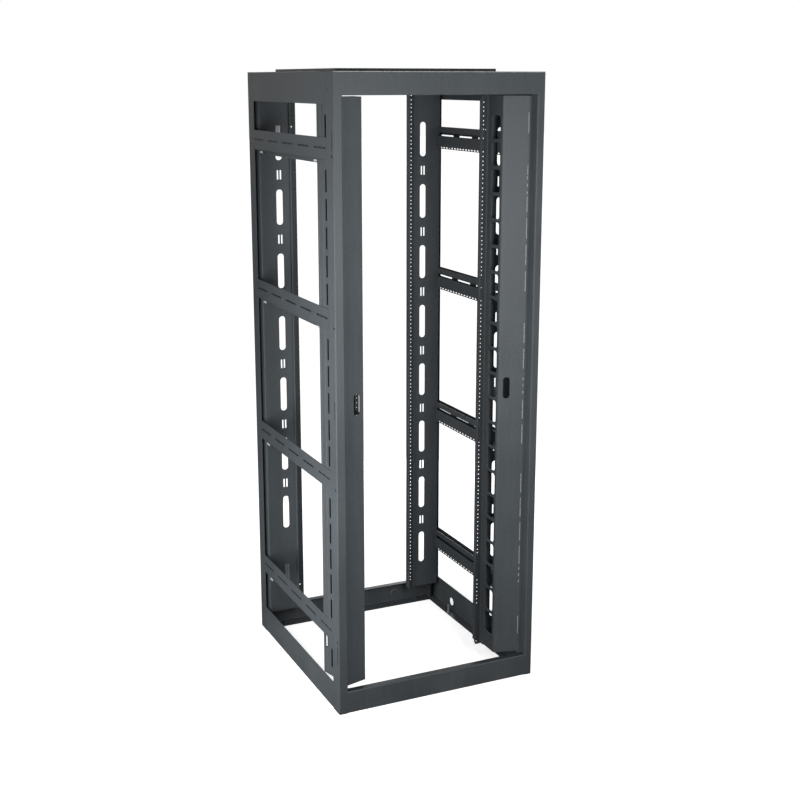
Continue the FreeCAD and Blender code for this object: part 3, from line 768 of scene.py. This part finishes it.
depth, height = sizes["depth"], sizes["height"]
baseTop, topLow = cross["baseHeight"], sizes["height"] - cross["topHeight"]
flange, floorFlange, anchorDepth = cross["flange"], cross["bottomFlange"], cross["anchorAt"][1]
bolts = [turned((x, depth - anchorDepth, cross["boltLow"]), "z", cross["bolt"], arc["bolt"], cross["boltTone"])
         for x in anchorsAcross]
knockout = [turned((cross["knockout"][0], depth - sheet, cross["knockout"][1]), "y", outline,
                   arc["knockout"], tone) for outline, tone in cross["knockoutRings"]]
# a painted highlight: a thin bare-metal strip along the top front rail's upper edge
lineEnd, lineNear, lineFar, lineDrop = cross["line"]
frontHighlight = box((lineEnd, lineNear, height - lineDrop), (sizes["width"] - lineEnd, lineFar, height - lineNear),
                cross["highlightTone"])
# the base front rail's top flange and the rear base rail are darkened: painted shade where little light falls
crossRail("base_front_rail", [(flange, baseTop), (0.0, baseTop), (0.0, 0.0), (floorFlange, 0.0)],
          anchorLane(flange + baseTop + anchorDepth), shade=cross["baseShade"],
          paintedShadeFrom=baseTop - cross["shadeBelow"])
crossRail("base_rear_rail",
          [(depth - floorFlange, 0.0), (depth, 0.0), (depth, baseTop), (depth - flange, baseTop)],
          anchorLane(floorFlange - anchorDepth), bolts + knockout, shade=cross["rearShade"])
crossRail("top_front_rail", [(flange, height), (0.0, height), (0.0, topLow), (flange, topLow)],
          extra=[frontHighlight])
crossRail("top_rear_rail",
          [(depth - flange, topLow), (depth, topLow), (depth, height), (depth - flange, height)])

gusset = {"low": (28.0, 25.0, 77.0), "high": (42.0, 41.0, 79.0)}


def cornerGusset(name, mirror):
    return pieceOf(name, [box(gusset["low"], gusset["high"])], mirror)


bothSides("base_front_{}_gusset_small", "base_front_{}_gusset", cornerGusset)
print("base and top rails")


# tone: the plate and braces are lightened a little towards bare metal, painted light where they stand in shade
plate = {"low": 2109.0, "height": 12.0, "side": 85.0, "front": 180.0, "rear": 60.0, "brace": (20.0, 30.0),
         "braceRound": [1.5], "edgeRound": 0.6, "tone": 0.25}


def topPlate():
    # a shallow tray upside down: its outer skin, its inner skin and the rim between them
    low, high = plate["low"], plate["low"] + plate["height"]
    ring = []
    for inset, z in ((0.0, low), (0.0, high), (sheet, low), (sheet, high - sheet)):
        x0, x1 = plate["side"] + inset, sizes["width"] - plate["side"] - inset
        y0, y1 = plate["front"] + inset, sizes["depth"] - plate["rear"] - inset
        ring += [(x0, y0, z), (x1, y0, z), (x1, y1, z), (x0, y1, z)]
    i = np.arange(4)
    j = (i + 1) % 4
    walls = [np.stack([i + a, j + a, j + b, i + b], 1) for a, b in ((0, 4), (12, 8), (8, 0))]
    quads = np.concatenate(walls + [[[4, 5, 6, 7], [15, 14, 13, 12]]])
    return outward(np.array(ring), quads, noTriangles, np.zeros(len(ring)))


def topBrace(front):
    # an angle across the rack, from one side rail to the other
    high = plate["low"]
    profile = [(front + plate["brace"][0], high), (front, high), (front, high - plate["brace"][1])]
    return folded(profile, sheet, sizes["width"] - sheet, "alongWidth", radii=plate["braceRound"])


for name, shape in (("top_plate", topPlate()), ("top_front_brace", topBrace(plate["front"])),
                    ("top_rear_brace", topBrace(sizes["depth"] - plate["rear"] - plate["brace"][0]))):
    points, quads, triangles, tone = shape
    # the plate's tone lightens these pieces: painted light
    piece = pieceOf(name + "_shaped", [(points, quads, triangles, tone + plate["tone"])],
                    edge=plate["edgeRound"])
    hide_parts(name)
    bodyPieces.append(piece)
print("top plate and braces")


class Wire:
    # a socket of a shader tree; operators on it add math nodes, so that a formula reads as an expression
    def __init__(self, tree, socket):
        self.tree = tree
        self.socket = socket

    def maths(self, operation, *others):
        node = self.tree.nodes.new("ShaderNodeMath")
        node.operation = operation
        for slot, value in zip(node.inputs, (self,) + others):
            connect(self.tree, value, slot)
        return Wire(self.tree, node.outputs[0])

    def __add__(self, other):
        return self.maths("ADD", other)

    def __sub__(self, other):
        return self.maths("SUBTRACT", other)

    def __rsub__(self, other):
        return (self * -1.0) + other

    def __mul__(self, other):
        return self.maths("MULTIPLY", other)

    def between(self, low, high):
        # 0 below low, 1 above high and a straight line from one to the other
        return ((self - low) * (1.0 / (high - low))).maths("MAXIMUM", 0.0).maths("MINIMUM", 1.0)

    __radd__ = __add__
    __rmul__ = __mul__


def connect(tree, value, slot):
    # a wire is linked to the slot, and a plain value is set in it
    if isinstance(value, Wire):
        tree.links.new(value.socket, slot)
    else:
        slot.default_value = value


class Paint:
    # a material with one Principled shader
    def __init__(self, name):
        self.material = bpy.data.materials.new(name)
        self.material.use_nodes = True
        self.tree = self.material.node_tree
        self.shader = self.tree.nodes["Principled BSDF"]
        self.place = self.node("TexCoord", {}, {}, "Object")

    def node(self, kind, settings, values, output=0):
        node = self.tree.nodes.new("ShaderNode" + kind)
        for name, setting in settings.items():
            setattr(node, name, setting)
        for name, value in values.items():
            connect(self.tree, value, node.inputs[name])
        return Wire(self.tree, node.outputs[output])

    def noise(self, scale, detail=2.0, stretch=(1, 1, 1)):
        place = self.node("VectorMath", {"operation": "MULTIPLY"}, {0: self.place, 1: stretch})
        return self.node("TexNoise", {}, {"Vector": place, "Scale": scale, "Detail": detail})

    def mix(self, share, first, second):
        return self.node("Mix", {"data_type": "RGBA"}, {0: share, 6: first, 7: second}, 2)

    def height(self):
        return self.node("SeparateXYZ", {}, {0: self.place}, 2)

    def finish(self, **values):
        for name, value in values.items():
            connect(self.tree, value, self.shader.inputs[name.replace("_", " ")])
        return self.material


# a noise: scale, detail and, where it has one, stretch; shares: of clouds, streaks and grains in the shade
coatLook = {"dark": (0.064, 0.073, 0.080, 1), "light": (0.088, 0.100, 0.108, 1), "bare": (0.36, 0.37, 0.38, 1),
            "white": (0.85, 0.86, 0.87, 1), "nearBlack": (0.006, 0.007, 0.008, 1), "nearBlackShare": 0.95,
            "dust": (0.16, 0.155, 0.145, 1), "dustHeight": 0.16, "dustShare": 0.3,
            "clouds": (5.0, 3.0), "streaks": (9.0, 2.0, (8, 8, 0.6)), "grains": (170.0, 2.0),
            "fine": (900.0, 1.0), "shares": (0.45, 0.2, 0.35), "roughness": 0.46, "roughnessSpread": 0.14,
            "dustRoughness": 0.3, "specular": 0.2, "bump": 0.3, "bumpDepth": 0.0004}


def powderCoat():
    # colour from dark to light by slow clouds, streaks and small grains, with dust near the floor; then the
    # sheet's tone takes it to bare metal and on to white, or below 0 to near black, which carries painted
    # highlights and painted shade where they are set
    paint = Paint("powderCoat")
    clouds, streaks, grains, fine = [paint.noise(*coatLook[name])
                                     for name in ("clouds", "streaks", "grains", "fine")]
    cloudShare, streakShare, grainShare = coatLook["shares"]
    shade = (clouds.between(0.3, 0.7) * cloudShare + streaks.between(0.35, 0.65) * streakShare
             + grains.between(0.35, 0.65) * grainShare)
    colour = paint.mix(shade, coatLook["dark"], coatLook["light"])
    nearFloor = 1.0 - paint.height().between(0.0, coatLook["dustHeight"])
    dust = nearFloor * clouds.between(0.45, 0.75) * coatLook["dustShare"]
    colour = paint.mix(dust, colour, coatLook["dust"])
    tone = paint.node("Attribute", {"attribute_name": "tone"}, {}, 2)
    colour = paint.mix(tone.between(0.0, 1.0) * grains.between(0.25, 0.45), colour, coatLook["bare"])
    colour = paint.mix(tone.between(1.0, 2.0), colour, coatLook["white"])
    colour = paint.mix((1.0 - tone.between(-1.5, 0.0)) * coatLook["nearBlackShare"], colour, coatLook["nearBlack"])
    roughness = (coatLook["roughness"] + (shade - 0.5) * coatLook["roughnessSpread"]
                 + dust * coatLook["dustRoughness"])
    bump = paint.node("Bump", {}, {"Strength": coatLook["bump"], "Distance": coatLook["bumpDepth"],
                                   "Height": grains * 0.5 + fine * 0.5})
    return paint.finish(Base_Color=colour, Roughness=roughness, Specular_IOR_Level=coatLook["specular"],
                        Normal=bump)


coat = powderCoat()
for piece in bodyPieces:
    piece.data.materials.append(coat)
    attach(piece, "root")
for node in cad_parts.values():
    node.data.materials.clear()
    node.data.materials.append(coat)
print("paint")

view = {"place": (-1.835, -4.049, 2.0855), "yaw": 0.4335, "pitch": 0.2285, "lens": 57.35, "shift": -0.03}
camera = bpy.data.objects.new("camera", bpy.data.cameras.new("camera"))
bpy.context.scene.collection.objects.link(camera)
camera.location = view["place"]
camera.rotation_euler = (math.pi / 2 - view["pitch"], 0.0, -view["yaw"])
camera.data.lens = view["lens"]
camera.data.shift_y = view["shift"]
camera.data.clip_end = 60.0
bpy.context.scene.camera = camera


def lamp(name, place, target, energy, size):
    # a rectangular lamp that looks at its target and isn't seen itself
    data = bpy.data.lights.new(name, "AREA")
    data.energy = energy
    data.shape = "RECTANGLE"
    data.size, data.size_y = size
    light = bpy.data.objects.new(name, data)
    bpy.context.scene.collection.objects.link(light)
    light.location = place
    light.rotation_euler = (Vector(target) - Vector(place)).to_track_quat("-Z", "Y").to_euler()
    light.visible_camera = False


# place and target in metres, energy in watts, size across and up
lamps = {"front": {"place": (-0.1, -2.2, 1.5), "target": (0.0, -0.3, 1.3), "energy": 29.0,
                   "size": (0.5, 1.0)},
         "frontRight": {"place": (0.6, -2.1, 1.6), "target": (0.0, -0.3, 1.3), "energy": 3.0,
                        "size": (0.5, 1.0)},
         "left": {"place": (-1.3, -0.4, 0.8), "target": (-0.37, -0.3, 0.75), "energy": 9.5, "size": (0.3, 1.7)},
         "leftNear": {"place": (-0.9, -0.55, 1.15), "target": (-0.37, -0.4, 1.1), "energy": 4.5,
                      "size": (0.25, 1.4)},
         "corner": {"place": (-0.95, -1.05, 1.1), "target": (-0.37, -0.37, 1.0), "energy": 3.6,
                    "size": (0.25, 1.2)},
         "leftLow": {"place": (-1.15, 0.0, 0.3), "target": (-0.37, 0.0, 0.06), "energy": 3.2,
                     "size": (0.8, 0.3)},
         "back": {"place": (1.3, 2.2, 0.7), "target": (0.0, 0.4, 0.9), "energy": 12.0, "size": (0.6, 1.2)}}
for name, settings in lamps.items():
    lamp(name, **settings)

# glow: the floor's own light beside the rack and past the end of the fade; unseen: its colour to all but the
# camera; room: how strongly the room lights the rack
stage = {"size": 80, "light": (0.93, 0.97), "roughness": 0.9, "glow": (0.72, 1.0), "fade": (0.5, 1.2),
         "unseen": 0.12, "room": 0.08}


def grey(value):
    return value, value, value, 1


bpy.ops.mesh.primitive_plane_add(size=stage["size"])
floor = bpy.context.object
floor.name = "floor"
floorPaint = Paint("floorPaint")
floorShade = floorPaint.mix(floorPaint.noise(2.0), *[grey(value) for value in stage["light"]])
distance = floorPaint.node("VectorMath", {"operation": "LENGTH"}, {0: floorPaint.place}, 1)
glow = floorPaint.mix(distance.between(*stage["fade"]), *[grey(value) for value in stage["glow"]])
floor.data.materials.append(floorPaint.finish(Base_Color=floorShade, Roughness=stage["roughness"],
                                              Emission_Color=glow, Emission_Strength=1.0))
tree = floorPaint.tree
unseen = floorPaint.node("BsdfDiffuse", {}, {"Color": grey(stage["unseen"])})
seen = floorPaint.node("LightPath", {}, {}, "Is Camera Ray")
both = floorPaint.node("MixShader", {}, {0: seen, 1: unseen, 2: Wire(tree, floorPaint.shader.outputs[0])})
tree.links.new(both.socket, tree.nodes["Material Output"].inputs["Surface"])

# the room is white to the camera, in reflections and through glass, and lights the rack only a little
world = bpy.data.worlds.new("room")
bpy.context.scene.world = world
world.use_nodes = True
sky = world.node_tree
rays = sky.nodes.new("ShaderNodeLightPath")
direct = Wire(sky, rays.outputs["Is Camera Ray"])
direct = direct.maths("MAXIMUM", Wire(sky, rays.outputs["Is Glossy Ray"]))
direct = direct.maths("MAXIMUM", Wire(sky, rays.outputs["Is Transmission Ray"]))
background = sky.nodes["Background"]
background.inputs["Color"].default_value = grey(1)
connect(sky, direct * (1.0 - stage["room"]) + stage["room"], background.inputs["Strength"])
bpy.context.scene.view_settings.view_transform = "Standard"
print("lamps, floor and camera")
